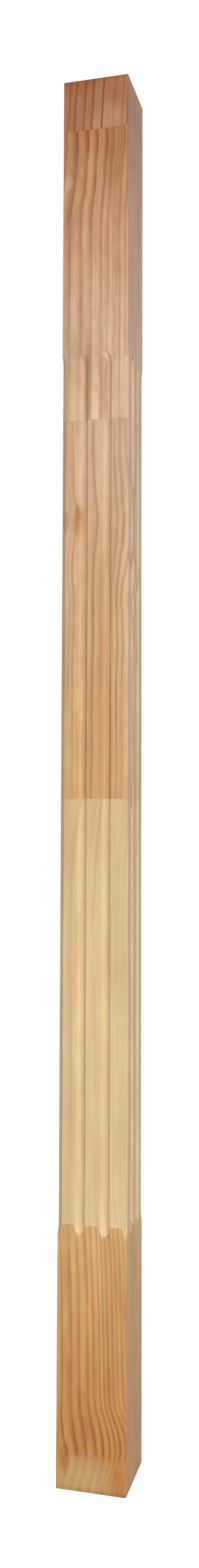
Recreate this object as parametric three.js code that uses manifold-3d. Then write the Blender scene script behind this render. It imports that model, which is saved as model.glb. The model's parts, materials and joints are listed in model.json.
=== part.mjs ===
// A square verandah post of finger-jointed pine, fluted and chamfered between two plain ends.
// Millimetres, +Z up, the origin at the middle of the underside.
import * as THREE from "three";
import { mergeVertices } from "three/addons/utils/BufferGeometryUtils.js";
import Module from "manifold-3d";

const wasm = await Module();
wasm.setup();

// The squared timber
const POST_LENGTH = 2400;
const POST_WIDTH = 118;
const ARRIS_RADIUS = 2;
const ARRIS_STEPS = 3;

// Two flutes on each face, and a chamfer on each corner, stopped at the same heights
const CUT_BOTTOM = 400;
const CUT_TOP = 1900;
const FLUTE_WIDTH = 19;
const FLUTE_DEPTH = 6;
const FLUTE_SPACING = 42;
const CHAMFER_LEG = 8;

// The cutter wheel, which lifts off the timber at both ends of its run
const WHEEL_RADIUS = 40;
const WHEEL_STEPS = 60;
const NOSE_STEPS = 12;
const CHAMFER_WHEEL_WIDTH = 30;
const CUT_CLEARANCE = 10;

// The finger joints, at the heights of their lines on the front face. A lipped joint has its flat shoulders
// sunk below that line, behind a thin lip of the lower length
const JOINTS = [
  { height: 420, lipped: true },
  { height: 1123, lipped: false },
  { height: 1780, lipped: false },
  { height: 2306, lipped: false },
];
const FINGER_COUNT = 15;
const FINGER_LENGTH = 18;
const FINGER_TIP = 0.6;
const SHOULDER_WIDTH = 9;
const LIP_WIDTH = 2.5;
const GLUE_GAP = 0.3;
const JOINT_OVERHANG = 10;

// The five lengths of pine, from the ground up, with their colours
const BLOCKS = [
  { name: "base_block", colour: 0xc6905a },
  { name: "lower_block", colour: 0xdcbe90 },
  { name: "middle_block", colour: 0xd2a878 },
  { name: "upper_block", colour: 0xcba384 },
  { name: "top_block", colour: 0xb07858 },
];
const PLANED_ROUGHNESS = 0.6;

const HALF_WIDTH = POST_WIDTH / 2;
const QUARTER_TURN = Math.PI / 2;

// A closed geometry as a solid that can be joined and cut
function solid(geometry) {
  geometry.deleteAttribute("normal");
  geometry.deleteAttribute("uv");
  const merged = mergeVertices(geometry);
  const corners = merged.index.array;
  const triangles = [];
  for (let i = 0; i < corners.length; i += 3) {
    const [a, b, c] = corners.slice(i, i + 3);
    if (a !== b && b !== c && c !== a) {
      triangles.push(a, b, c);
    }
  }
  const mesh = new wasm.Mesh({
    numProp: 3,
    vertProperties: new Float32Array(merged.attributes.position.array),
    triVerts: new Uint32Array(triangles),
  });
  return new wasm.Manifold(mesh);
}

// The cut solid back as a geometry with flat facets
function facets(body) {
  const mesh = body.getMesh();
  const geometry = new THREE.BufferGeometry();
  geometry.setAttribute("position", new THREE.BufferAttribute(mesh.vertProperties, 3));
  geometry.setIndex(new THREE.BufferAttribute(mesh.triVerts, 1));
  geometry.computeVertexNormals();
  return geometry;
}

// The plain timber, with its long arrises eased
function squaredTimber() {
  const flat = HALF_WIDTH - ARRIS_RADIUS;
  const outline = new THREE.Shape();
  for (let corner = 0; corner < 4; corner += 1) {
    const turn = corner * QUARTER_TURN;
    const x = flat * Math.SQRT2 * Math.cos(turn + QUARTER_TURN / 2);
    const y = flat * Math.SQRT2 * Math.sin(turn + QUARTER_TURN / 2);
    outline.absarc(x, y, ARRIS_RADIUS, turn, turn + QUARTER_TURN, false);
  }
  return solid(new THREE.ExtrudeGeometry(outline, {
    depth: POST_LENGTH,
    bevelEnabled: false,
    curveSegments: ARRIS_STEPS,
  }));
}

// The rim of a round-nosed wheel: across its width, and how far it falls below the full radius
function roundNose() {
  const halfChord = FLUTE_WIDTH / 2;
  const noseRadius = (halfChord ** 2 + FLUTE_DEPTH ** 2) / (2 * FLUTE_DEPTH);
  const rim = [];
  for (let step = 0; step <= NOSE_STEPS; step += 1) {
    const turn = (step / NOSE_STEPS - 0.5) * Math.PI;
    rim.push({ across: noseRadius * Math.sin(turn), fall: noseRadius * (1 - Math.cos(turn)) });
  }
  return rim;
}

// The rim of a plain wheel
function flatNose() {
  const halfWidth = CHAMFER_WHEEL_WIDTH / 2;
  return [{ across: -halfWidth, fall: 0 }, { across: halfWidth, fall: 0 }];
}

// What a wheel takes out of a face at y = 0 that looks along +Y: a straight run, and a scoop at each end
function stoppedCut(rim, depth) {
  const runOut = Math.sqrt(WHEEL_RADIUS ** 2 - (WHEEL_RADIUS - depth) ** 2);
  const stops = [CUT_BOTTOM + runOut, CUT_TOP - runOut];
  const widest = rim[rim.length - 1].across;

  const section = new THREE.Shape();
  section.moveTo(-widest, CUT_CLEARANCE);
  rim.forEach(({ across, fall }) => section.lineTo(across, fall - depth));
  section.lineTo(widest, CUT_CLEARANCE);
  const run = new THREE.ExtrudeGeometry(section, { depth: stops[1] - stops[0], bevelEnabled: false });
  run.translate(0, 0, stops[0]);
  let cut = solid(run);

  const profile = rim.map(({ across, fall }) => new THREE.Vector2(WHEEL_RADIUS - fall, across));
  profile.unshift(new THREE.Vector2(0, -widest));
  profile.push(new THREE.Vector2(0, widest));
  for (const height of stops) {
    const wheel = new THREE.LatheGeometry(profile, WHEEL_STEPS);
    wheel.rotateZ(-QUARTER_TURN);
    wheel.translate(0, WHEEL_RADIUS - depth, height);
    cut = cut.add(solid(wheel));
  }
  return cut;
}

// A solid moved out along +Y and across, then turned about the post's axis
function placed(body, across, outward, turn) {
  const degrees = THREE.MathUtils.radToDeg(turn);
  return body.translate([across, outward, 0]).rotate([0, 0, degrees]);
}

// The whole post, before it is parted at its joints
function flutedPost() {
  const flute = stoppedCut(roundNose(), FLUTE_DEPTH);
  const chamfer = stoppedCut(flatNose(), CHAMFER_LEG / Math.SQRT2);
  let post = squaredTimber();
  for (let face = 0; face < 4; face += 1) {
    const turn = face * QUARTER_TURN;
    for (const side of [-0.5, 0.5]) {
      post = post.subtract(placed(flute, side * FLUTE_SPACING, HALF_WIDTH, turn));
    }
    post = post.subtract(placed(chamfer, 0, HALF_WIDTH * Math.SQRT2, turn + QUARTER_TURN / 2));
  }
  return post;
}

// The line of a finger joint seen from the side, from front to back: a flat shoulder, the fingers, and
// a flat shoulder again
function fingerLine({ height, lipped }, rise) {
  const line = height + rise;
  const shoulder = lipped ? line - FINGER_LENGTH : line;
  const reach = lipped ? line : line - FINGER_LENGTH;
  const pitch = (POST_WIDTH - 2 * SHOULDER_WIDTH) / FINGER_COUNT;
  const points = [];
  for (let finger = 0; finger < FINGER_COUNT; finger += 1) {
    const start = SHOULDER_WIDTH - HALF_WIDTH + finger * pitch;
    const middle = start + pitch / 2;
    points.push([start + FINGER_TIP / 2, shoulder]);
    points.push([middle - FINGER_TIP / 2, reach]);
    points.push([middle + FINGER_TIP / 2, reach]);
    points.push([start + pitch - FINGER_TIP / 2, shoulder]);
  }
  if (lipped) {
    points.unshift([FINGER_TIP / 2 - HALF_WIDTH, line], [LIP_WIDTH - HALF_WIDTH, shoulder]);
    points.push([HALF_WIDTH - LIP_WIDTH, shoulder], [HALF_WIDTH - FINGER_TIP / 2, line]);
  }
  const overhang = HALF_WIDTH + JOINT_OVERHANG;
  return [[-overhang, line], ...points, [overhang, line]];
}

// A square-cut end, past the end of the post
function squareLine(height) {
  const reach = HALF_WIDTH + JOINT_OVERHANG;
  return [[-reach, height], [reach, height]];
}

// Everything between two joint lines, as wide as the post and more
function lengthBetween(lower, upper) {
  const outline = new THREE.Shape();
  lower.forEach(([y, z], i) => (i === 0 ? outline.moveTo(y, z) : outline.lineTo(y, z)));
  upper.toReversed().forEach(([y, z]) => outline.lineTo(y, z));
  const reach = HALF_WIDTH + JOINT_OVERHANG;
  const prism = new THREE.ExtrudeGeometry(outline, { depth: 2 * reach, bevelEnabled: false });
  prism.translate(0, 0, -reach);
  prism.rotateX(QUARTER_TURN);
  prism.rotateZ(QUARTER_TURN);
  return solid(prism);
}

function verandahPost() {
  const post = flutedPost();
  const group = new THREE.Group();
  BLOCKS.forEach(({ name, colour }, i) => {
    const lower = i === 0
      ? squareLine(-JOINT_OVERHANG)
      : fingerLine(JOINTS[i - 1], GLUE_GAP / 2);
    const upper = i === JOINTS.length
      ? squareLine(POST_LENGTH + JOINT_OVERHANG)
      : fingerLine(JOINTS[i], -GLUE_GAP / 2);
    const block = post.intersect(lengthBetween(lower, upper));
    const pine = new THREE.MeshStandardMaterial({
      color: colour,
      roughness: PLANED_ROUGHNESS,
      metalness: 0,
    });
    const mesh = new THREE.Mesh(facets(block), pine);
    mesh.name = name;
    group.add(mesh);
  });
  return group;
}

export default verandahPost();
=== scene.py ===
"""A square verandah post of finger-jointed pine, fluted and chamfered between two plain ends."""
import json
import math

import bmesh
import bpy
from mathutils import Color, Matrix, Vector


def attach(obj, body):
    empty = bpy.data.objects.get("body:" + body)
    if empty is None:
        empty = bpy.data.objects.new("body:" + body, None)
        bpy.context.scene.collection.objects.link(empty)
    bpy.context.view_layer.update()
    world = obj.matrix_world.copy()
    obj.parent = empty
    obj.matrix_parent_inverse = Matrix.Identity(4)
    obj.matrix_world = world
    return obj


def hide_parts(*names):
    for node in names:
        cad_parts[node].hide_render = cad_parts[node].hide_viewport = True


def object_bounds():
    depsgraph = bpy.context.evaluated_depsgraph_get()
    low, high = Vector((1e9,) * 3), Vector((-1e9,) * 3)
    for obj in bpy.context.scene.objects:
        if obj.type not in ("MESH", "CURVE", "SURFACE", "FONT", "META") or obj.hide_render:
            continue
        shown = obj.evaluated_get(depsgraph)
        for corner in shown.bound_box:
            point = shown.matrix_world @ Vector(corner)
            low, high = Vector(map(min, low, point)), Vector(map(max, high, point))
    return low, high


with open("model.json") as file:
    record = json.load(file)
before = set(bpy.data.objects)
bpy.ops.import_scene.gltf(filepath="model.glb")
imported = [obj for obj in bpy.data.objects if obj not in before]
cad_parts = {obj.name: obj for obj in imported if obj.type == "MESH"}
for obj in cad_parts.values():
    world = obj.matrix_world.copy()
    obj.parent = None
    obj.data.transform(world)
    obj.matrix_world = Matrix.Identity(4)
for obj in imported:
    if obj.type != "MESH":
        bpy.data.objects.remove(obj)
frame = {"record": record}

bl_info = {
    "name": "Verandah Post",
    "version": (1, 0, 0),
    "blender": (4, 5, 0),
    "location": "3D View > Sidebar > Post",
    "description": "Models a fluted and chamfered post of finger-jointed pine, and the stage it stands on",
    "category": "Add Mesh",
}

CAD_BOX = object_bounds()
MM = 0.001
QUARTER_TURN = math.pi / 2

# How finely the curved cuts are made
ARRIS_SEGMENTS = 4
END_EASE_SEGMENTS = 2
FLUTE_SEGMENTS = 112
STOP_SEGMENTS = 36
STOP_LIFT = math.radians(50)

# Edges sharper than this stay crisp, and broad faces count for this much in the shading beside them
SHARP_EDGE = math.radians(32)
BROAD_FACE_WEIGHT = 90

# Points nearer than this are one point, in metres
WELD = 0.001 * MM
FINGER_WELD = 0.01 * MM

# A face whose normal points this far up or down is a sawn end
SAWN_NORMAL = 0.9

# The flat cutter's breadth and height, and how far a joint's cutter reaches past the timber, in metres
CHAMFER_CUTTER = (0.03, 0.02)
JOINT_OVERHANG = 0.01

# The joint, counted from the ground, whose shoulders are sunk behind a lip of the block below
LIPPED_JOINT = 0

# The blocks from the ground up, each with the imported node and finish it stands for
BLOCK_NAMES = ("base_block", "lower_block", "middle_block", "upper_block", "top_block")
BLOCK_SLOTS = {part["node"]: part["material_slot"] for part in frame["record"]["subparts"]}

# The grain of each block, read on the front face in millimetres from the middle of the post.
# lines: where a dark line runs, how wide it is and how strong, at the height where the leans are nought.
# lean_left and lean_right: how far the lines stray to the right at a height, along either edge of the face.
# strength: how dark the lines are at a height.
# tilt, turn and hollow: how the growth rings go on into the depth of the block.
# wander: how far noise pushes the lines to either side.
# patches: height, place across, half height, half width, depth reached, colour, amount and softness. The
# patches set 66 and 68 across, on the right face, are painted shade and painted light; the rest are wood.
# mottle: how much lighter and darker the wood gets in small clouds.
# seed: which stretch of the noise the block takes.
GRAIN = {
    "base_block": {
        "lines": (
            (-50, 5, 0.8), (-34.5, 11, 0.8), (-21, 9, 0.8), (-7, 9, 0.8), (3.5, 7, 0.85), (13, 5, 0.85),
            (20, 5, 0.7), (27, 6, 0.85), (35.5, 7, 0.75), (43, 6, 0.6), (50.5, 6, 0.6), (58, 6, 0.6),
        ),
        "lean_left": (
            (420, -5), (400, -4), (300, 0), (200, 0.5), (140, 0), (120, -1), (100, 0), (80, 2),
            (70, 4.5), (60, 7.5), (50, 9.5), (40, 8), (20, 4), (0, 0),
        ),
        "lean_right": (
            (420, -6), (370, -2.5), (300, 0), (200, 3), (170, 4), (155, 5), (140, 7), (130, 10.5),
            (120, 15), (110, 18.5), (100, 21.5), (90, 23.5), (80, 24.5), (70, 24.5), (60, 23),
            (50, 20.5), (30, 16), (10, 11), (0, 9),
        ),
        "strength": (
            (420, 0.5), (300, 0.62), (200, 0.66), (150, 0.66), (120, 0.76), (95, 0.95), (72, 1.0),
            (62, 0.9), (55, 0.5), (46, 0.25), (0, 0.3),
        ),
        "tilt": 0.55,
        "turn": 0.004,
        "hollow": 0.002,
        "wander": 1.2,
        "patches": (
            (12, -16, 52, 60, 80, (0.86, 0.71, 0.49), 0.9, 1.2),
            (52, -44, 30, 12, 20, (0.72, 0.43, 0.24), 0.6, 1.2),
            (96, -8, 26, 14, 20, (0.80, 0.50, 0.30), 0.6, 1.2),
        ),
        "mottle": 0.04,
        "seed": 3.0,
    },
    "lower_block": {
        "lines": (
            (-37, 17, 0.6), (-6.5, 4, 0.15), (5, 6, 0.4), (36.5, 4, 0.3), (43.5, 4, 0.2),
            (48.5, 4, 0.35), (54.5, 4, 0.3), (60, 4, 0.3),
        ),
        "lean_left": (
            (1123, 19), (1100, 13.5), (1060, 8), (1030, 5), (1000, 2.5), (950, 1), (920, 0), (800, -1),
            (700, 0), (550, 1), (420, 0),
        ),
        "lean_right": (
            (1123, 9), (1110, 8), (1050, 1), (950, -4), (850, -4), (750, -1), (650, 0), (550, 0),
            (490, 1), (450, 5), (420, 11),
        ),
        "strength": (
            (1123, 0.85), (1000, 0.75), (930, 0.65), (880, 0.45), (700, 0.4), (550, 0.38), (420, 0.5),
        ),
        "tilt": 0.4,
        "turn": 0.003,
        "hollow": 0.002,
        "wander": 1.2,
        "patches": (
            (1090, -54, 200, 20, 60, (0.83, 0.65, 0.44), 0.6, 1.2),
        ),
        "mottle": 0.015,
        "seed": 11.0,
    },
    "middle_block": {
        "lines": (
            (-45, 6, 0.2), (-36.5, 8, 0.6), (-2, 9, 0.9), (31.5, 8, 0.6), (40.5, 6, 0.9), (50, 5, 0.65),
            (60, 6, 0.5),
        ),
        "lean_left": (
            (1780, -5), (1700, -2), (1660, -2), (1640, 1.5), (1605, 5), (1580, 2), (1560, 0), (1540, -2),
            (1520, -2), (1500, -1), (1480, 1.5), (1460, 3.5), (1440, 2.5), (1400, 1.5), (1340, 0),
            (1300, 0), (1200, -1.5), (1123, 0),
        ),
        "lean_right": (
            (1780, 6), (1700, 7), (1660, 10), (1640, 10.5), (1605, 12.5), (1580, 12), (1560, 11),
            (1540, 8.5), (1520, 6.5), (1500, 3.5), (1480, 0.5), (1460, -1), (1440, 0.5), (1400, 1.5),
            (1380, 2), (1340, 0.5), (1300, 0), (1200, 1), (1123, -1.5),
        ),
        "strength": (
            (1780, 0.55), (1690, 0.7), (1600, 0.78), (1500, 0.84), (1400, 0.86), (1200, 0.78),
            (1123, 0.66),
        ),
        "tilt": -0.3,
        "turn": 0.004,
        "hollow": -0.002,
        "wander": 1.2,
        "patches": (
            (1602, -28, 34, 11, 18, (0.71, 0.46, 0.27), 0.62, 1.0),
            (1585, -26, 25, 9, 16, (0.86, 0.66, 0.41), 0.6, 1.0),
            (1602, -51, 24, 10, 16, (0.72, 0.47, 0.36), 0.5, 1.2),
            (1300, 15, 250, 10, 26, (0.76, 0.56, 0.35), 0.65, 1.2),
            # Painted light: this pale patch over the right face brightens it to stand in for the grazing
            # light and sheen on that face.
            (1450, 68, 700, 18, 300, (0.91, 0.80, 0.68), 0.6, 1.2),
        ),
        "mottle": 0.04,
        "seed": 23.0,
    },
    "upper_block": {
        "lines": (
            (-52.5, 6, 0.7), (-33, 14, 0.95), (-13, 13, 0.9), (4.5, 12, 1.0), (22, 8, 0.9),
            (33, 9, 0.65), (42, 4, 0.55), (47, 4, 0.5), (53, 5, 0.85), (63, 5, 0.8),
        ),
        "lean_left": (
            (2306, -1), (2285, 0.5), (2262, 0), (2240, -1.5), (2210, -4), (2180, -9), (2155, -13),
            (2140, -14), (2100, -14), (1950, -14.5), (1780, -15),
        ),
        "lean_right": (
            (2306, 0), (2285, 0.5), (2262, -1), (2245, -3.5), (2220, -4.5), (2180, -6), (2140, -7.5),
            (2000, -7.5), (1900, -7), (1780, -7),
        ),
        "strength": (
            (2306, 0.95), (2270, 0.95), (2252, 0.78), (2200, 0.66), (2100, 0.58), (2000, 0.48),
            (1900, 0.42), (1780, 0.42),
        ),
        "tilt": -1.43,
        "turn": 0.004,
        "hollow": 0.003,
        "wander": 1.4,
        "patches": (
            (2255, -45, 60, 8, 24, (0.74, 0.60, 0.38), 0.6, 1.2),
            (2280, 28, 40, 7, 20, (0.74, 0.46, 0.28), 0.7, 1.2),
            (2212, -50, 18, 14, 20, (0.86, 0.72, 0.56), 0.6, 1.2),
            (2170, -48, 34, 9, 24, (0.77, 0.53, 0.33), 0.5, 1.2),
            (1835, -13, 120, 7, 26, (0.74, 0.54, 0.36), 0.7, 1.2),
            (1975, -5, 80, 70, 80, (0.94, 0.82, 0.71), 0.16, 1.2),
            # Painted shade: this dark patch on the right face near the head stands in for the light falling
            # off there.
            (2290, 66, 110, 10, 180, (0.62, 0.43, 0.29), 0.85, 1.2),
        ),
        "mottle": 0.07,
        "seed": 37.0,
    },
    "top_block": {
        "lines": (
            (-47.5, 6, 0.6), (-36, 7, 0.85), (-19, 9, 0.7), (-4.5, 8, 0.9), (14, 6, 0.95),
            (34.5, 8, 0.3), (50.5, 4, 0.6), (60, 5, 0.6),
        ),
        "lean_left": ((2400, 2.5), (2353, 0), (2306, -2.5)),
        "lean_right": ((2400, 3), (2353, 0), (2306, -3)),
        "strength": ((2400, 1.0), (2353, 0.95), (2306, 0.8)),
        "tilt": -0.8,
        "turn": 0.005,
        "hollow": 0.003,
        "wander": 1.4,
        "patches": (
            (2400, -32, 34, 40, 60, (0.68, 0.40, 0.21), 0.6, 1.2),
            (2316, 24, 40, 40, 60, (0.82, 0.62, 0.47), 0.6, 1.2),
            # Painted shade: this dark patch over the right face stands in for the light falling off towards
            # the head.
            (2353, 66, 80, 10, 180, (0.55, 0.36, 0.25), 0.85, 1.2),
        ),
        "mottle": 0.05,
        "seed": 51.0,
    },
}

# How far one set of lines reaches either way across the growth rings before it turns back on itself,
# and the most that a lean can stray, in millimetres
RING_REACH = 70.0
LEAN_REACH = 30.0

# Dark lines nearer than this share the pale wood between them, in millimetres
LINE_MEETING = 2.0

# The parts of a dark line's width over which it darkens slowly and ends sharply
LINE_RISE = 0.72
LINE_FALL = 0.28

# A patch ends where the squared distances, each as a part of its half size, add up to this
PATCH_EDGE = 1.2

# The sizes of the noise in the wood, across, into and along the block, in millimetres
WANDER_SIZES = (20, 20, 110)
UNEVEN_SIZES = (11, 11, 130)
FINE_LINE_SIZES = (2.2, 30, 420)
FIBRE_SIZES = (0.9, 0.9, 45)
BLOTCH_SIZES = (26, 26, 170)
MOTTLE_SIZES = (9, 9, 32)
HUE_SIZES = (13, 13, 75)
SEED_STEP = 97.0

# The stretch of each noise that counts, and what that stretch is brought to
UNEVEN_LINES = (0.25, 0.75, 0.65, 1.15)
WARM_BLOTCHES = (0.35, 0.75, 0.0, 0.3)
FINE_LINES = (0.48, 0.8, 0.0, 0.33)
HUE_DRIFT = (0.3, 0.7, 0.492, 0.511)
FIBRE_SHADE = (0.25, 0.75, 0.93, 1.05)
FIBRE_ROUGHNESS = (0.2, 0.8, 0.52, 0.66)
RUBBED_AMOUNT = (0.3, 0.7, 0.15, 0.5)
MOTTLE_STRETCH = (0.3, 0.7)
MOTTLE_MIDDLE = 1.01

# The sawn ends: the slant between a side and an end, how much darker and rougher an end is, and how far
# the rubbed edge goes up the sides, in millimetres
SAWN_SLANT = (0.75, 0.95)
SAWN_DARKNESS = 0.4
SAWN_ROUGHNESS = 0.2
RUBBED_HEIGHT = 9.0

# The dark lines are smoother and stand proud, and the fibres stand proud between them
LINE_SMOOTHNESS = -0.08
LINE_RELIEF = 0.5
FIBRE_RELIEF = 0.6
RELIEF_STRENGTH = 0.25
RELIEF_HEIGHT = 0.25 * MM

# The floor: its radius in metres, the sides of its rim, and its roughness
FLOOR_RADIUS = 60.0
FLOOR_SEGMENTS = 64
FLOOR_ROUGHNESS = 0.9

# The lamps: where each one stands, where it looks, and its breadth and height, in metres
KEY_LAMP = ((1.12, -2.78, 1.3), (0, 0, 1.15), (0.9, 1.2))
TOP_LAMP = ((0, 0.2, 4.4), (0, 0, 2.4), (1.2, 1.2))
REAR_LAMP = ((-2.1, 2.1, 1.3), (0, 0, 1.15), (0.9, 1.2))

# How far towards the back a direction points where the wall's sheen starts, and where it is full
WALL_SPREAD = (-0.1, 0.4)

# The width of the camera's frame, in millimetres
CAMERA_FRAME = 36.0


def length_property(name, description, default):
    """A size that a user may change, in metres."""
    return bpy.props.FloatProperty(
        name=name, description=description, default=default, min=0.0, precision=4, unit="LENGTH"
    )


def colour_property(name, description, default):
    """A colour that a user may change, as it looks on the screen."""
    return bpy.props.FloatVectorProperty(
        name=name,
        description=description,
        default=default,
        min=0.0,
        max=1.0,
        size=3,
        subtype="COLOR_GAMMA",
    )


def foot_property(block, default):
    """The pale wood at the foot of a block."""
    description = f"Pale wood at the foot of the {block.lower()} block"
    return colour_property(f"{block}, Foot", description, default)


def head_property(block, default):
    """The pale wood at the head of a block."""
    description = f"Pale wood at the head of the {block.lower()} block"
    return colour_property(f"{block}, Head", description, default)


def lines_property(block, default):
    """The dark growth lines of a block."""
    description = f"Dark growth lines of the {block.lower()} block"
    return colour_property(f"{block}, Lines", description, default)


def power_property(name, description, default):
    """The power of a lamp, in watts."""
    return bpy.props.FloatProperty(
        name=name, description=description, default=default, min=0.0, unit="POWER"
    )


class PostSizes(bpy.types.PropertyGroup):
    """The sizes of the timber, its cuts and its joints"""

    length: length_property("Length", "From the underside to the head", CAD_BOX[1].z - CAD_BOX[0].z)
    width: length_property("Width", "Across the square section", CAD_BOX[1].x - CAD_BOX[0].x)
    arris: length_property("Arris", "Radius of the eased long corners", 2 * MM)
    end_ease: length_property("End Ease", "Sanded edge round the sawn ends", 0.5 * MM)
    cut_bottom: length_property("Cut Bottom", "Height where the flutes and chamfers start", 0.4)
    cut_top: length_property("Cut Top", "Height where the flutes and chamfers stop", 1.9)
    flute_width: length_property("Flute Width", "Across one flute at the face", 19 * MM)
    flute_depth: length_property("Flute Depth", "How deep a flute goes below the face", 6 * MM)
    flute_spacing: length_property("Flute Spacing", "Between the middles of a face's flutes", 42 * MM)
    chamfer_leg: length_property("Chamfer", "How far the chamfer takes back each face", 8 * MM)
    wheel_radius: length_property("Cutter Radius", "Radius of the wheel that cuts the stops", 40 * MM)
    shoulder_width: length_property("Shoulder", "Flat part behind the front and back faces", 9 * MM)
    lip_width: length_property("Lip", "Lip of the base block over its joint's shoulders", 2.5 * MM)
    finger_length: length_property("Finger Length", "Length of the fingers in a joint", 18 * MM)
    finger_tip: length_property("Finger Tip", "Width of a finger's blunt tip", 0.6 * MM)
    glue_line: length_property("Glue Line", "Height of the glue line between two blocks", 0.12 * MM)
    finger_count: bpy.props.IntProperty(
        name="Fingers", description="Fingers across a joint, between its shoulders", default=15, min=2
    )
    joint_heights: bpy.props.FloatVectorProperty(
        name="Joint Heights",
        description="Heights of the four joint lines on the front face",
        default=(0.42, 1.123, 1.78, 2.306),
        size=4,
        unit="LENGTH",
    )


class PostColours(bpy.types.PropertyGroup):
    """The colours of the five blocks of pine"""

    base_block_foot: foot_property("Base", (0.87, 0.59, 0.31))
    base_block_head: head_property("Base", (0.94, 0.75, 0.51))
    base_block_line: lines_property("Base", (0.60, 0.335, 0.09))
    lower_block_foot: foot_property("Lower", (0.95, 0.83, 0.64))
    lower_block_head: head_property("Lower", (0.89, 0.77, 0.59))
    lower_block_line: lines_property("Lower", (0.70, 0.53, 0.34))
    middle_block_foot: foot_property("Middle", (0.85, 0.68, 0.46))
    middle_block_head: head_property("Middle", (0.875, 0.74, 0.61))
    middle_block_line: lines_property("Middle", (0.65, 0.42, 0.19))
    upper_block_foot: foot_property("Upper", (0.945, 0.805, 0.67))
    upper_block_head: head_property("Upper", (0.83, 0.58, 0.4))
    upper_block_line: lines_property("Upper", (0.54, 0.285, 0.095))
    top_block_foot: foot_property("Top", (0.78, 0.54, 0.38))
    top_block_head: head_property("Top", (0.76, 0.51, 0.35))
    top_block_line: lines_property("Top", (0.50, 0.25, 0.09))


class StageSettings(bpy.types.PropertyGroup):
    """The floor, the lights and the camera"""

    floor_colour: colour_property("Floor", "Pale floor under the post", (0.96, 0.96, 0.95))
    backdrop: colour_property("Backdrop", "What shows behind the post", (1.0, 1.0, 1.0))
    floor_glow: bpy.props.FloatProperty(
        name="Floor Glow", description="Light that evens out the pale floor", default=0.9, min=0.0
    )
    key_power: power_property("Key Light", "Power of the large lamp at the front right", 69.5)
    rear_power: power_property("Rear Light", "Power of the large lamp at the back left", 75.0)
    top_power: power_property("Top Light", "Power of the large lamp above the post", 20.0)
    room_light: bpy.props.FloatProperty(
        name="Room Light", description="Even light from all round", default=0.26, min=0.0
    )
    wall_sheen: bpy.props.FloatProperty(
        name="Wall Sheen", description="Gloss on the wood from the wall behind", default=1.1, min=0.0
    )
    camera_place: bpy.props.FloatVectorProperty(
        name="Camera",
        description="Where the camera stands",
        default=(0.5507, -2.1316, 1.1179),
        subtype="TRANSLATION",
    )
    camera_turn: bpy.props.FloatProperty(
        name="Camera Turn", description="Turn to the left", default=math.radians(14.604), subtype="ANGLE"
    )
    camera_pitch: bpy.props.FloatProperty(
        name="Camera Pitch", description="Tilt upwards", default=math.radians(4.734), subtype="ANGLE"
    )
    camera_roll: bpy.props.FloatProperty(
        name="Camera Roll",
        description="Roll about the line of sight",
        default=math.radians(0.194),
        subtype="ANGLE",
    )
    camera_lens: bpy.props.FloatProperty(
        name="Lens", description="Focal length on a 36 mm frame", default=28.953, min=1.0, unit="CAMERA"
    )
    camera_shift: bpy.props.FloatProperty(
        name="Shift", description="Shift of the frame along its height", default=-0.0553
    )


class NodeBench:
    """Lays out the nodes of one finish or of the room."""

    def __init__(self, tree):
        self.tree = tree

    def feed(self, socket, value):
        """Links a socket to an output, or sets it to a plain value."""
        if isinstance(value, bpy.types.NodeSocket):
            self.tree.links.new(value, socket)
        else:
            socket.default_value = value

    def node(self, kind, inputs, **settings):
        """One node with its settings and inputs."""
        made = self.tree.nodes.new(kind)
        for setting, value in settings.items():
            setattr(made, setting, value)
        for socket, value in inputs.items():
            self.feed(made.inputs[socket], value)
        return made

    def maths(self, operation, first, second=0.0, third=0.0, clamp=False):
        """A sum, product or other plain reckoning."""
        inputs = {0: first, 1: second, 2: third}
        return self.node("ShaderNodeMath", inputs, operation=operation, use_clamp=clamp).outputs[0]

    def span(self, value, start, end, low=0.0, high=1.0, smooth=False):
        """A value brought from one span to another, and kept inside it."""
        inputs = {"Value": value, "From Min": start, "From Max": end, "To Min": low, "To Max": high}
        interpolation = "SMOOTHSTEP" if smooth else "LINEAR"
        return self.node("ShaderNodeMapRange", inputs, interpolation_type=interpolation).outputs[0]

    def curve(self, along, points):
        """A smooth line through points that run from 0 to 1 both ways."""
        made = self.node("ShaderNodeFloatCurve", {"Value": along})
        line = made.mapping.curves[0]
        ordered = sorted(points)
        for place, point in zip((line.points[0], line.points[-1]), (ordered[0], ordered[-1])):
            place.location = point
        for point in ordered[1:-1]:
            line.points.new(*point)
        made.mapping.update()
        return made.outputs[0]

    def ramp(self, value, stops):
        """Colours in order along a value from 0 to 1."""
        made = self.node("ShaderNodeValToRGB", {"Fac": value})
        elements = made.color_ramp.elements
        elements.remove(elements[-1])
        elements[0].position = stops[0][0]
        elements[0].color = (*stops[0][1], 1.0)
        for position, colour in stops[1:]:
            elements.new(position).color = (*colour, 1.0)
        return made.outputs[0]

    def grain_noise(self, place, sizes, detail=2.0, roughness=0.5):
        """Noise with a different size in millimetres along each direction."""
        scaled = self.node(
            "ShaderNodeVectorMath", {0: place, 1: [1.0 / size for size in sizes]}, operation="MULTIPLY"
        )
        inputs = {"Vector": scaled.outputs[0], "Scale": 1.0, "Detail": detail, "Roughness": roughness}
        return self.node("ShaderNodeTexNoise", inputs).outputs[0]

    def mix(self, amount, first, second, blend="MIX"):
        """One colour laid over another."""
        made = self.node("ShaderNodeMix", {}, data_type="RGBA", blend_type=blend)
        # The node has sockets for every kind of value, and these are the ones for colours
        sockets = (made.inputs[0], made.inputs[6], made.inputs[7])
        for socket, value in zip(sockets, (amount, first, second)):
            self.feed(socket, value)
        return made.outputs[2]


def paint(colour):
    """A colour as the shader wants it."""
    return (*Color(colour).from_srgb_to_scene_linear(), 1.0)


def line_stops(lines):
    """The stops of a ramp that rises to each dark line and falls again, sharply on its right."""
    stops = []
    last_end = -math.inf
    for middle, width, strength in sorted(lines):
        start = middle - LINE_RISE * width
        if start < last_end + LINE_MEETING:
            start = (start + last_end) / 2
            stops[-1] = (start, 0.0)
        else:
            stops.append((start, 0.0))
        last_end = middle + LINE_FALL * width
        stops.append((middle, strength))
        stops.append((last_end, 0.0))
    return [((at + RING_REACH) / (2 * RING_REACH), (grey,) * 3) for at, grey in stops]


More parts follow.
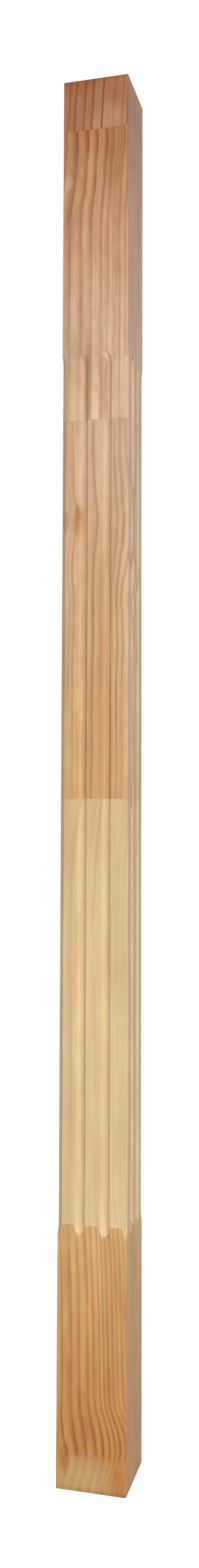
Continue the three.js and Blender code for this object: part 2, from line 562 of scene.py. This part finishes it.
class PineFinish:
    """The wood of one block: growth lines that run through it, fibres, and sawn ends."""

    def __init__(self, name, bottom, top, sizes, colours):
        self.plan = GRAIN[name]
        self.bottom = bottom
        self.top = top
        self.post_length = sizes.length / MM
        self.half_width = sizes.width / 2 / MM
        self.foot_colour = paint(getattr(colours, f"{name}_foot"))
        self.head_colour = paint(getattr(colours, f"{name}_head"))
        self.line_colour = paint(getattr(colours, f"{name}_line"))
        self.material = bpy.data.materials.new(BLOCK_SLOTS[name])
        self.material.use_nodes = True
        self.bench = NodeBench(self.material.node_tree)
        self.find_place()
        self.lay_wood()

    def find_place(self):
        """Where a point lies, in millimetres: across the front, in behind it, and up the post."""
        bench = self.bench
        self.coordinates = bench.node("ShaderNodeTexCoord", {})
        inputs = {0: self.coordinates.outputs["Object"], "Scale": 1.0 / MM}
        place = bench.node("ShaderNodeVectorMath", inputs, operation="SCALE").outputs[0]
        self.across, inward, self.height = bench.node("ShaderNodeSeparateXYZ", {0: place}).outputs
        self.depth = bench.maths("ADD", inward, self.half_width)
        self.along = bench.span(self.height, self.bottom, self.top)
        inputs = {0: place, 1: (self.plan["seed"] * SEED_STEP,) * 3}
        self.noise_place = bench.node("ShaderNodeVectorMath", inputs, operation="ADD").outputs[0]

    def by_height(self, points):
        """The points of a curve along the block, with each height as a part of the block's own."""
        return [((at - self.bottom) / (self.top - self.bottom), value) for at, value in points]

    def lean(self, edge):
        """How far the lines stray to the right along one edge of the front."""
        points = [(at, 0.5 + stray / (2 * LEAN_REACH)) for at, stray in self.plan[f"lean_{edge}"]]
        curve = self.bench.curve(self.along, self.by_height(points))
        return self.bench.maths("MULTIPLY_ADD", curve, 2 * LEAN_REACH, -LEAN_REACH)

    def growth_rings(self):
        """Which growth ring a point lies in, as a distance across the front where the leans are nought."""
        bench = self.bench
        left = self.lean("left")
        right = self.lean("right")
        share = bench.span(self.across, -self.half_width, self.half_width)
        lean = bench.maths("MULTIPLY_ADD", bench.maths("SUBTRACT", right, left), share, left)
        wander = bench.grain_noise(self.noise_place, WANDER_SIZES, detail=1.0)
        wander = bench.maths("SUBTRACT", wander, 0.5)
        turned = bench.maths("MULTIPLY_ADD", self.across, self.plan["turn"], self.plan["tilt"])
        turned = bench.maths("MULTIPLY_ADD", self.depth, self.plan["hollow"], turned)
        ring = bench.maths("MULTIPLY_ADD", turned, self.depth, self.across)
        ring = bench.maths("SUBTRACT", ring, lean)
        return bench.maths("MULTIPLY_ADD", wander, 2 * self.plan["wander"], ring)

    def dark_lines(self, ring):
        """How dark the wood is in its growth lines."""
        bench = self.bench
        folded = bench.maths("PINGPONG", bench.maths("MULTIPLY_ADD", ring, 0.5 / RING_REACH, 0.5), 1.0)
        lines = bench.ramp(folded, line_stops(self.plan["lines"]))
        strength = bench.curve(self.along, self.by_height(self.plan["strength"]))
        uneven = bench.span(bench.grain_noise(self.noise_place, UNEVEN_SIZES), *UNEVEN_LINES)
        return bench.maths("MULTIPLY", bench.maths("MULTIPLY", lines, strength), uneven, clamp=True)

    def patch(self, colour, at, middle, tall, broad, reach, tint, amount, softness):
        """A soft patch of another colour: wood that differs, and on the right face painted shade and
        painted light.
        """
        bench = self.bench
        sideways = bench.maths("DIVIDE", bench.maths("SUBTRACT", self.across, middle), broad)
        upward = bench.maths("DIVIDE", bench.maths("SUBTRACT", self.height, at), tall)
        inward = bench.maths("DIVIDE", self.depth, reach)
        spread = bench.maths("MULTIPLY", sideways, sideways)
        spread = bench.maths("MULTIPLY_ADD", upward, upward, spread)
        spread = bench.maths("MULTIPLY_ADD", inward, inward, spread)
        cover = bench.span(spread, PATCH_EDGE, PATCH_EDGE - softness, 0.0, amount, smooth=True)
        return bench.mix(cover, colour, paint(tint))

    def pale_wood(self, ring, blotch):
        """The wood between the dark lines, with its fine lines, patches and drift of hue."""
        bench = self.bench
        colour = bench.mix(self.along, self.foot_colour, self.head_colour)
        colour = bench.mix(bench.span(blotch, *WARM_BLOTCHES), colour, self.line_colour)
        ring_place = bench.node("ShaderNodeCombineXYZ", {0: ring, 1: self.depth, 2: self.height})
        fine = bench.grain_noise(ring_place.outputs[0], FINE_LINE_SIZES, roughness=0.6)
        colour = bench.mix(bench.span(fine, *FINE_LINES), colour, self.line_colour)
        for patch in self.plan["patches"]:
            colour = self.patch(colour, *patch)
        hue = bench.span(bench.grain_noise(self.noise_place, HUE_SIZES), *HUE_DRIFT)
        return bench.node("ShaderNodeHueSaturation", {"Hue": hue, "Color": colour}).outputs[0]

    def shaded(self, colour, fibre):
        """A colour made lighter and darker by the fibres and in small clouds."""
        bench = self.bench
        mottle = self.plan["mottle"]
        clouds = bench.grain_noise(self.noise_place, MOTTLE_SIZES)
        clouds = bench.span(clouds, *MOTTLE_STRETCH, MOTTLE_MIDDLE - mottle, MOTTLE_MIDDLE + mottle)
        shade = bench.maths("MULTIPLY", bench.span(fibre, *FIBRE_SHADE), clouds)
        return bench.mix(1.0, colour, shade, "MULTIPLY")

    def sawn_ends(self):
        """Where the post's sawn ends are, told by how the surface slants."""
        normal = self.coordinates.outputs["Normal"]
        facing = self.bench.node("ShaderNodeSeparateXYZ", {0: normal}).outputs[2]
        return self.bench.span(self.bench.maths("ABSOLUTE", facing), *SAWN_SLANT, smooth=True)

    def darkened_ends(self, colour, blotch, sawn):
        """A colour made darker on the sawn ends and on the rubbed edges beside them."""
        bench = self.bench
        from_head = bench.maths("SUBTRACT", self.post_length, self.height)
        edge = bench.span(bench.maths("MINIMUM", self.height, from_head), RUBBED_HEIGHT, 0.0)
        rubbed = bench.maths("MULTIPLY", edge, bench.span(blotch, *RUBBED_AMOUNT))
        colour = bench.mix(rubbed, colour, self.line_colour)
        return bench.mix(bench.maths("MULTIPLY", sawn, SAWN_DARKNESS), colour, self.line_colour)

    def lay_wood(self):
        """Brings the colour, the roughness and the relief together on the shader."""
        bench = self.bench
        shader = self.material.node_tree.nodes["Principled BSDF"]
        ring = self.growth_rings()
        late = self.dark_lines(ring)
        fibre = bench.grain_noise(self.noise_place, FIBRE_SIZES, detail=3.0, roughness=0.6)
        blotch = bench.grain_noise(self.noise_place, BLOTCH_SIZES)
        sawn = self.sawn_ends()

        colour = bench.mix(late, self.pale_wood(ring, blotch), self.line_colour)
        colour = self.darkened_ends(self.shaded(colour, fibre), blotch, sawn)
        bench.feed(shader.inputs["Base Color"], colour)

        roughness = bench.span(fibre, *FIBRE_ROUGHNESS)
        roughness = bench.maths("MULTIPLY_ADD", late, LINE_SMOOTHNESS, roughness)
        roughness = bench.maths("MULTIPLY_ADD", sawn, SAWN_ROUGHNESS, roughness)
        bench.feed(shader.inputs["Roughness"], roughness)

        relief = bench.maths("MULTIPLY", fibre, FIBRE_RELIEF)
        relief = bench.maths("MULTIPLY_ADD", late, LINE_RELIEF, relief)
        inputs = {"Strength": RELIEF_STRENGTH, "Distance": RELIEF_HEIGHT, "Height": relief}
        bench.feed(shader.inputs["Normal"], bench.node("ShaderNodeBump", inputs).outputs[0])


def ease_edges(bm, edges, radius, segments):
    """Rounds edges over."""
    bmesh.ops.bevel(
        bm, geom=edges, offset=radius, affect="EDGES", segments=segments, profile=0.5, material=-1
    )


def squared_timber(sizes):
    """The plain timber, with its long arrises eased and its sawn ends sanded."""
    bm = bmesh.new()
    bmesh.ops.create_cube(bm, size=1.0)
    bmesh.ops.scale(bm, vec=(sizes.width, sizes.width, sizes.length), verts=bm.verts)
    bmesh.ops.translate(bm, vec=(0, 0, sizes.length / 2), verts=bm.verts)
    upright = [edge for edge in bm.edges if edge.calc_length() > sizes.length / 2]
    ease_edges(bm, upright, sizes.arris, ARRIS_SEGMENTS)
    bm.normal_update()
    ends = [
        edge
        for edge in bm.edges
        if any(abs(face.normal.z) > SAWN_NORMAL for face in edge.link_faces)
    ]
    ease_edges(bm, ends, sizes.end_ease, END_EASE_SEGMENTS)
    return bm


def run_cutter(bm, section, sizes, depth):
    """Takes a section along a face at y = 0 that looks along +Y, and curves it out at both ends."""
    lift_height = sizes.wheel_radius - depth
    run_out = math.sqrt(sizes.wheel_radius**2 - lift_height**2)
    low = sizes.cut_bottom + run_out
    high = sizes.cut_top - run_out
    bmesh.ops.translate(bm, vec=(0, 0, low), verts=section.verts)
    raised = bmesh.ops.extrude_face_region(bm, geom=[section])["geom"]
    upper_section = next(part for part in raised if isinstance(part, bmesh.types.BMFace))
    bmesh.ops.translate(bm, vec=(0, 0, high - low), verts=upper_section.verts)
    for end, height, lift in ((section, low, STOP_LIFT), (upper_section, high, -STOP_LIFT)):
        bmesh.ops.spin(
            bm,
            geom=[end, *end.edges, *end.verts],
            cent=(0, lift_height, height),
            axis=(1, 0, 0),
            angle=lift,
            steps=STOP_SEGMENTS,
        )


def copy_round(bm):
    """The same cutter on the other three faces or corners."""
    parts = [*bm.verts, *bm.edges, *bm.faces]
    bmesh.ops.spin(bm, geom=parts, axis=(0, 0, 1), angle=3 * QUARTER_TURN, steps=3, use_duplicate=True)


def flute_cutters(sizes):
    """The paths of the round cutter: two on each face."""
    half_chord = sizes.flute_width / 2
    radius = (half_chord**2 + sizes.flute_depth**2) / (2 * sizes.flute_depth)
    bm = bmesh.new()
    middle = Matrix.Translation((0, radius - sizes.flute_depth, 0))
    bmesh.ops.create_circle(bm, cap_ends=True, segments=FLUTE_SEGMENTS, radius=radius, matrix=middle)
    run_cutter(bm, next(iter(bm.faces)), sizes, sizes.flute_depth)
    bmesh.ops.translate(bm, vec=(-sizes.flute_spacing / 2, sizes.width / 2, 0), verts=bm.verts)
    parts = [*bm.verts, *bm.edges, *bm.faces]
    beside = (sizes.flute_spacing, 0, 0)
    bmesh.ops.spin(bm, geom=parts, axis=(0, 0, 1), angle=0, dvec=beside, steps=1, use_duplicate=True)
    copy_round(bm)
    return bm


def chamfer_cutters(sizes):
    """The paths of the flat cutter: one on each corner."""
    depth = sizes.chamfer_leg / math.sqrt(2)
    breadth, tallness = CHAMFER_CUTTER
    bm = bmesh.new()
    place = Matrix.Translation((0, tallness / 2 - depth, 0)) @ Matrix.Diagonal((breadth, tallness, 1, 1))
    bmesh.ops.create_grid(bm, x_segments=1, y_segments=1, size=0.5, matrix=place)
    run_cutter(bm, next(iter(bm.faces)), sizes, depth)
    bmesh.ops.translate(bm, vec=(0, sizes.width / math.sqrt(2), 0), verts=bm.verts)
    bmesh.ops.rotate(bm, cent=(0, 0, 0), matrix=Matrix.Rotation(QUARTER_TURN / 2, 3, "Z"), verts=bm.verts)
    copy_round(bm)
    return bm


def finger_row(bm, sizes, line, lipped):
    """The line of one joint seen from the side: the fingers, between two flat shoulders."""
    half = sizes.width / 2
    reach = half + JOINT_OVERHANG
    tip = sizes.finger_tip / 2
    pitch = (sizes.width - 2 * sizes.shoulder_width) / sizes.finger_count
    sunk = line - sizes.finger_length
    shoulder, point = (sunk, line) if lipped else (line, sunk)
    outline = (
        (tip, shoulder), (pitch / 2 - tip, point), (pitch / 2 + tip, point), (pitch - tip, shoulder),
        (pitch + tip, shoulder),
    )
    start = sizes.shoulder_width - half
    finger = [bm.verts.new((-reach, start + y, z)) for y, z in outline]
    edges = [bm.edges.new(pair) for pair in zip(finger, finger[1:])]
    bmesh.ops.spin(
        bm,
        geom=finger + edges,
        axis=(1, 0, 0),
        angle=0,
        dvec=(0, pitch, 0),
        steps=sizes.finger_count - 1,
        use_duplicate=True,
    )
    bmesh.ops.remove_doubles(bm, verts=bm.verts, dist=FINGER_WELD)
    way_out = [(half - sizes.lip_width, shoulder), (half - tip, line)] if lipped else []
    for end in [vert for vert in bm.verts if len(vert.link_edges) == 1]:
        for outward, height in (*way_out, (reach, line)):
            end = bmesh.ops.extrude_vert_indiv(bm, verts=[end])["verts"][0]
            end.co = (-reach, math.copysign(outward, end.co.y), height)


def glue_line(sizes, height, lipped):
    """The thin sheet of glue in one joint: straight on the front and back, and zigzag on the sides."""
    bm = bmesh.new()
    finger_row(bm, sizes, height - sizes.glue_line / 2, lipped)
    sheet = bmesh.ops.extrude_edge_only(bm, edges=bm.edges)["geom"]
    far = [part for part in sheet if isinstance(part, bmesh.types.BMVert)]
    bmesh.ops.translate(bm, vec=(sizes.width + 2 * JOINT_OVERHANG, 0, 0), verts=far)
    thick = bmesh.ops.extrude_face_region(bm, geom=bm.faces)["geom"]
    upper = [part for part in thick if isinstance(part, bmesh.types.BMVert)]
    bmesh.ops.translate(bm, vec=(0, 0, sizes.glue_line), verts=upper)
    return bm


def workpiece(name, bm):
    """A bmesh as an object, closed and facing outwards."""
    bmesh.ops.remove_doubles(bm, verts=bm.verts, dist=WELD)
    bmesh.ops.recalc_face_normals(bm, faces=bm.faces)
    mesh = bpy.data.meshes.new(name)
    bm.to_mesh(mesh)
    bm.free()
    made = bpy.data.objects.new(name, mesh)
    bpy.context.scene.collection.objects.link(made)
    return made


def cut_away(timber, cutter):
    """Takes the cutter's shape out of the timber, and the cutter away."""
    modifier = timber.modifiers.new("Cut", "BOOLEAN")
    modifier.operation = "DIFFERENCE"
    modifier.solver = "MANIFOLD"
    modifier.object = cutter
    bpy.context.view_layer.update()
    before = timber.data
    worked = timber.evaluated_get(bpy.context.evaluated_depsgraph_get())
    timber.data = bpy.data.meshes.new_from_object(worked)
    timber.modifiers.clear()
    bpy.data.meshes.remove(before)
    bpy.data.meshes.remove(cutter.data)


def part_at_joints(timber):
    """The separate blocks of the jointed timber, from the ground up."""
    bpy.ops.object.select_all(action="DESELECT")
    timber.select_set(True)
    bpy.context.view_layer.objects.active = timber
    bpy.ops.mesh.separate(type="LOOSE")
    blocks = sorted(bpy.context.selected_objects, key=lambda block: block.bound_box[0][2])
    if len(blocks) != len(BLOCK_NAMES):
        raise RuntimeError(f"the timber came apart in {len(blocks)} blocks, not {len(BLOCK_NAMES)}")
    return blocks


def smooth_faces(block):
    """Round cuts shade smoothly, and flat faces and sharp edges stay crisp."""
    block.data.shade_smooth()
    block.data.set_sharp_from_angle(angle=SHARP_EDGE)
    modifier = block.modifiers.new("Flat Faces", "WEIGHTED_NORMAL")
    modifier.keep_sharp = True
    modifier.weight = BROAD_FACE_WEIGHT


class VERANDAH_POST_OT_blocks(bpy.types.Operator):
    """Joins, cuts and finishes the five blocks of the post"""

    bl_idname = "verandah_post.blocks"
    bl_label = "Timber Blocks"

    def execute(self, context):
        sizes = context.scene.post_sizes
        colours = context.scene.post_colours
        timber = workpiece("timber", squared_timber(sizes))
        cut_away(timber, workpiece("flute_cutters", flute_cutters(sizes)))
        cut_away(timber, workpiece("chamfer_cutters", chamfer_cutters(sizes)))
        for joint, height in enumerate(sizes.joint_heights):
            cut_away(timber, workpiece("glue_line", glue_line(sizes, height, joint == LIPPED_JOINT)))
        ends = [0.0, *sizes.joint_heights, sizes.length]
        for name, block, bottom, top in zip(BLOCK_NAMES, part_at_joints(timber), ends, ends[1:]):
            block.name = f"pine_{name}"
            block.data.name = block.name
            smooth_faces(block)
            block.data.materials.clear()
            finish = PineFinish(name, bottom / MM, top / MM, sizes, colours)
            block.data.materials.append(finish.material)
            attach(block, "root")
            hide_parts(name)
        return {"FINISHED"}


def pale_floor(settings):
    """A wide pale floor that the post stands on."""
    bm = bmesh.new()
    bmesh.ops.create_circle(bm, cap_ends=True, segments=FLOOR_SEGMENTS, radius=FLOOR_RADIUS)
    floor = workpiece("floor", bm)
    material = bpy.data.materials.new("pale_floor")
    material.use_nodes = True
    shader = material.node_tree.nodes["Principled BSDF"]
    shader.inputs["Base Color"].default_value = paint(settings.floor_colour)
    shader.inputs["Roughness"].default_value = FLOOR_ROUGHNESS
    shader.inputs["Emission Color"].default_value = paint(settings.floor_colour)
    shader.inputs["Emission Strength"].default_value = settings.floor_glow
    floor.data.materials.append(material)
    floor.visible_diffuse = False
    floor.visible_glossy = False


def soft_lamp(name, place, target, size, power):
    """A large soft lamp that looks at a point."""
    lamp = bpy.data.lights.new(name, "AREA")
    lamp.shape = "RECTANGLE"
    lamp.size, lamp.size_y = size
    lamp.energy = power
    made = bpy.data.objects.new(name, lamp)
    made.location = place
    made.rotation_euler = (Vector(target) - Vector(place)).to_track_quat("-Z", "Y").to_euler()
    made.visible_camera = False
    bpy.context.scene.collection.objects.link(made)


def room(settings):
    """Even light from all round, with a plain pale wall behind that the wood's gloss picks up."""
    world = bpy.data.worlds.new("room")
    world.use_nodes = True
    bpy.context.scene.world = world
    bench = NodeBench(world.node_tree)
    nodes = world.node_tree.nodes
    path = bench.node("ShaderNodeLightPath", {})
    way = bench.node("ShaderNodeTexCoord", {}).outputs["Object"]
    backward = bench.node("ShaderNodeSeparateXYZ", {0: way}).outputs[1]
    behind = bench.span(backward, *WALL_SPREAD, 0.0, settings.wall_sheen, smooth=True)
    strength = bench.maths("MULTIPLY_ADD", behind, path.outputs["Is Glossy Ray"], settings.room_light)
    light = nodes["Background"]
    light.inputs["Color"].default_value = (1.0, 1.0, 1.0, 1.0)
    bench.feed(light.inputs["Strength"], strength)
    backdrop = bench.node("ShaderNodeBackground", {"Color": paint(settings.backdrop), "Strength": 1.0})
    inputs = {0: path.outputs["Is Camera Ray"], 1: light.outputs[0], 2: backdrop.outputs[0]}
    both = bench.node("ShaderNodeMixShader", inputs)
    bench.feed(nodes["World Output"].inputs["Surface"], both.outputs[0])


def camera(settings):
    """The camera, standing to the right of the post at half its height."""
    data = bpy.data.cameras.new("camera")
    data.sensor_width = CAMERA_FRAME
    data.lens = settings.camera_lens
    data.shift_y = settings.camera_shift
    made = bpy.data.objects.new("camera", data)
    turn = Matrix.Rotation(settings.camera_turn, 3, "Z")
    pitch = Matrix.Rotation(QUARTER_TURN + settings.camera_pitch, 3, "X")
    roll = Matrix.Rotation(settings.camera_roll, 3, "Z")
    made.rotation_euler = (turn @ pitch @ roll).to_euler()
    made.location = settings.camera_place
    bpy.context.scene.collection.objects.link(made)
    bpy.context.scene.camera = made


class VERANDAH_POST_OT_stage(bpy.types.Operator):
    """Lays the floor and sets up the lights and the camera"""

    bl_idname = "verandah_post.stage"
    bl_label = "Stage"

    def execute(self, context):
        settings = context.scene.post_stage
        pale_floor(settings)
        room(settings)
        soft_lamp("key_light", *KEY_LAMP, settings.key_power)
        soft_lamp("top_light", *TOP_LAMP, settings.top_power)
        soft_lamp("rear_light", *REAR_LAMP, settings.rear_power)
        camera(settings)
        context.scene.view_settings.view_transform = "Standard"
        return {"FINISHED"}


class VERANDAH_POST_PT_panel(bpy.types.Panel):
    """The sizes, colours and steps of the post"""

    bl_idname = "VERANDAH_POST_PT_panel"
    bl_label = "Verandah Post"
    bl_space_type = "VIEW_3D"
    bl_region_type = "UI"
    bl_category = "Post"

    def draw(self, context):
        layout = self.layout
        for step in (VERANDAH_POST_OT_blocks, VERANDAH_POST_OT_stage):
            layout.operator(step.bl_idname)
        for group in (context.scene.post_sizes, context.scene.post_colours, context.scene.post_stage):
            box = layout.box()
            for key in group.bl_rna.properties.keys():
                if key not in {"rna_type", "name"}:
                    box.prop(group, key)


CLASSES = (
    PostSizes,
    PostColours,
    StageSettings,
    VERANDAH_POST_OT_blocks,
    VERANDAH_POST_OT_stage,
    VERANDAH_POST_PT_panel,
)


def register():
    for entry in CLASSES:
        bpy.utils.register_class(entry)
    bpy.types.Scene.post_sizes = bpy.props.PointerProperty(type=PostSizes)
    bpy.types.Scene.post_colours = bpy.props.PointerProperty(type=PostColours)
    bpy.types.Scene.post_stage = bpy.props.PointerProperty(type=StageSettings)


def unregister():
    del bpy.types.Scene.post_stage
    del bpy.types.Scene.post_colours
    del bpy.types.Scene.post_sizes
    for entry in reversed(CLASSES):
        bpy.utils.unregister_class(entry)


def main():
    register()
    bpy.ops.verandah_post.blocks()
    bpy.ops.verandah_post.stage()


if __name__ == "__main__":
    main()
